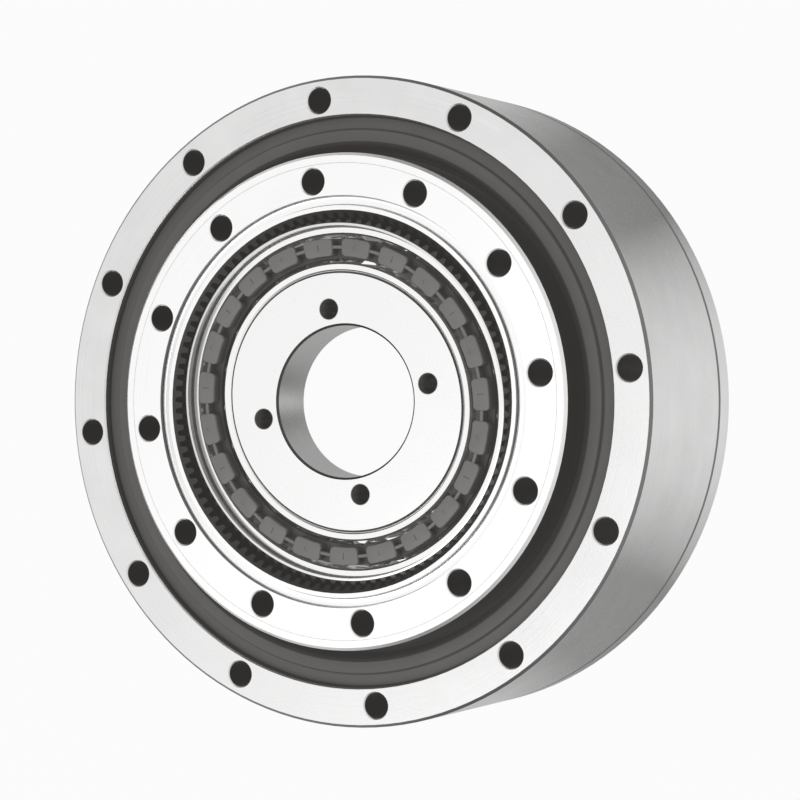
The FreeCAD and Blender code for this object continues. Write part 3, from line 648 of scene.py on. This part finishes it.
def pad_outline(length, width, corner):
    """A rectangle with round corners, its long sides in steps so that they can bend with the ring."""
    inner = length / 2 - corner
    outline = []
    for quarter, (x, y) in enumerate(((1, 1), (-1, 1), (-1, -1), (1, -1))):
        for part in range(CORNER_STEPS + 1):
            angle = math.radians(90 * quarter + 90 * part / CORNER_STEPS)
            outline.append((x * inner + corner * math.cos(angle),
                            y * (width / 2 - corner) + corner * math.sin(angle)))
        if quarter in (0, 2):
            outline += [(x * inner * (1 - 2 * k / SIDE_STEPS), y * width / 2) for k in range(1, SIDE_STEPS)]
    return outline


def pad(step, length, width, corner, bottom, top, edge):
    """A block on the cage that bends with the ring, with round corners and a soft upper edge."""
    outline = pad_outline(length, width, corner)
    rings = []
    for height, inset in ((bottom, 0), (top - edge, 0), (top - edge * 0.3, edge * 0.3), (top, edge)):
        shrink = [(x * (1 - 2 * inset / length), y * (1 - 2 * inset / width)) for x, y in outline]
        rings.append([cage_point(middle_of(step), x, y, height) for x, y in shrink])
    return loft(rings, closed=False, caps=True)


pockets = waved([(18, GAP_FLOOR), (24, GAP_FLOOR), (24, CAGE_TOP + 1), (18, CAGE_TOP + 1)])
blocks = [
    pad(k + 0.5, length=4.35, width=2.42, corner=0.6, bottom=PAD_BOTTOM, top=CAGE_TOP, edge=0.16)
    for k in range(BALLS)
]
necks = [
    pad(k, length=2.0, width=0.45, corner=0.1, bottom=PAD_BOTTOM, top=CAGE_TOP - 0.15, edge=0.1)
    for k in range(BALLS)
]
dashes = [
    pad(k + 0.5, length=0.14, width=0.9, corner=0.06, bottom=CAGE_TOP - 0.12, top=MARK_TOP, edge=0.02)
    for k in range(0, BALLS, 2)
]
dimples = [
    pad(k + 0.5, length=0.7, width=0.7, corner=0.34, bottom=CAGE_TOP - 0.06, top=MARK_TOP, edge=0.02)
    for k in range(1, BALLS, 2)
]
cage = cut(copy_of("pocket_cage", "ball_cage"), [pockets])
cage = cut(cut(cage, blocks, "UNION"), necks, "UNION")
cage = finished(cut(cage, dashes + dimples), angle=40)
stands_for(cage, "ball_cage", "wave_generator")


# The oil seal

SEAL = [
    (39.48, 25.61, 0.1), (39.48, 28.5, 0.05), (39.28, 28.7, 0.12), (37.78, 28.7, 0.08), (37.58, 29.2, 0.06),
    (37.48, 29.3, 0.12), (35.98, 29.3, 0.12), (35.58, 28.8, 0.3), (34.83, 27.01, 0.5), (34.2, 26.61, 0.12),
    (34.58, 25.91, 0.1), (35.28, 25.91, 0.1), (35.28, 26.41, 0.1), (35.73, 27.51, 0.1), (36.28, 27.9, 0.1),
    (39.08, 27.9, 0.05), (39.08, 25.61, 0.05),
]
seal = new_object("oil_seal_body", merged([lathe(SEAL)]), "seal_rubber")
stands_for(finished(seal, angle=40), "oil_seal", "housing")


# Light and backdrop

ROOM_HORIZON = 0.14
ROOM_ZENITH = 0.95
# The room goes from its horizon to its zenith light between these heights of the direction
ROOM_FADE = (0.05, 0.5)

KEY_PLACE = (-0.1, -0.3, 0.7)
KEY_SIZE = 0.4
KEY_POWER = 1.2
KEY_AIM = (0, 0, 0.015)

FLOOR_REACH = 4
FLOOR_DROP = 0.00005
# The floor is this much plain white to the camera, and paper of this grey for the rest
FLOOR_GLOW = 0.96
PAPER = 0.25
# White cards round the object, seen only in its polished sides: one narrow in front, one wide behind
FRONT_CARD = 0.8
BACK_CARD = 0.36
CARD_EDGE = 0.1
# The cosine of the angle from the front between which each card grows to its full light
FRONT_FADE = (0.8, 1.0)
BACK_FADE = (0.52, 0.2)
CARD_TURN = math.radians(6)


def studio_world():
    """White to the camera. To the object, a room that is dimmer at the horizon than overhead."""
    world = bpy.data.worlds.new("studio")
    world.use_nodes = True
    tree = world.node_tree
    tree.nodes.clear()
    output = tree.nodes.new("ShaderNodeOutputWorld")
    path = node(tree, "ShaderNodeLightPath").outputs
    direction = node(tree, "ShaderNodeTexCoord").outputs["Generated"]
    slope = node(tree, "ShaderNodeSeparateXYZ", {0: direction}).outputs[2]
    level = ramp(tree, slope, *ROOM_FADE, ROOM_HORIZON, ROOM_ZENITH, interpolation_type="SMOOTHSTEP")
    room = node(tree, "ShaderNodeBackground", {"Color": grey(1.0), "Strength": level})
    backdrop = node(tree, "ShaderNodeBackground", {"Color": grey(1.0), "Strength": 1.0})
    seen = math_node(tree, "ADD", path["Is Camera Ray"], path["Is Transmission Ray"], clamp=True)
    mix = node(tree, "ShaderNodeMixShader", {0: seen, 1: room.outputs[0], 2: backdrop.outputs[0]})
    tree.links.new(mix.outputs[0], output.inputs[0])
    bpy.context.scene.world = world


def key_light():
    """A square softbox that is aimed at the object."""
    data = bpy.data.lights.new("key_softbox", "AREA")
    data.shape = "SQUARE"
    data.size = KEY_SIZE
    data.energy = KEY_POWER
    item = bpy.data.objects.new("key_softbox", data)
    bpy.context.scene.collection.objects.link(item)
    aim = Vector(KEY_AIM) - Vector(KEY_PLACE)
    item.location = KEY_PLACE
    item.rotation_euler = aim.to_track_quat("-Z", "Y").to_euler()
    item.visible_camera = False


def floor_finish():
    """Paper that glows white to the camera, and as the two cards to polished sides."""
    material, tree, output = new_material("floor")
    path = node(tree, "ShaderNodeLightPath").outputs
    angle = polar(tree)[1]
    facing = math_node(tree, "COSINE", math_node(tree, "ADD", angle, CARD_TURN))
    front = ramp(tree, facing, *FRONT_FADE, CARD_EDGE, FRONT_CARD)
    behind = ramp(tree, facing, *BACK_FADE, 0.0, BACK_CARD)
    to_camera = times(tree, path["Is Camera Ray"], FLOOR_GLOW)
    to_polish = times(tree, path["Is Glossy Ray"], math_node(tree, "ADD", front, behind))
    seen = math_node(tree, "ADD", to_camera, to_polish)
    paper = node(tree, "ShaderNodeBsdfDiffuse", {"Color": grey(PAPER)})
    glow = node(tree, "ShaderNodeEmission", {"Color": grey(1.0), "Strength": 1.0})
    mix = node(tree, "ShaderNodeMixShader", {0: seen, 1: paper.outputs[0], 2: glow.outputs[0]})
    tree.links.new(mix.outputs[0], output.inputs[0])
    return material


studio_world()
key_light()

floor_data = bpy.data.meshes.new("floor")
floor_corners = [(x * FLOOR_REACH, y * FLOOR_REACH, 0) for x, y in ((-1, -1), (1, -1), (1, 1), (-1, 1))]
floor_data.from_pydata(floor_corners, [], [(0, 1, 2, 3)])
floor_data.materials.append(floor_finish())
floor = bpy.data.objects.new("floor", floor_data)
floor.location.z = -FLOOR_DROP
bpy.context.scene.collection.objects.link(floor)

bpy.context.scene.view_settings.view_transform = "Standard"
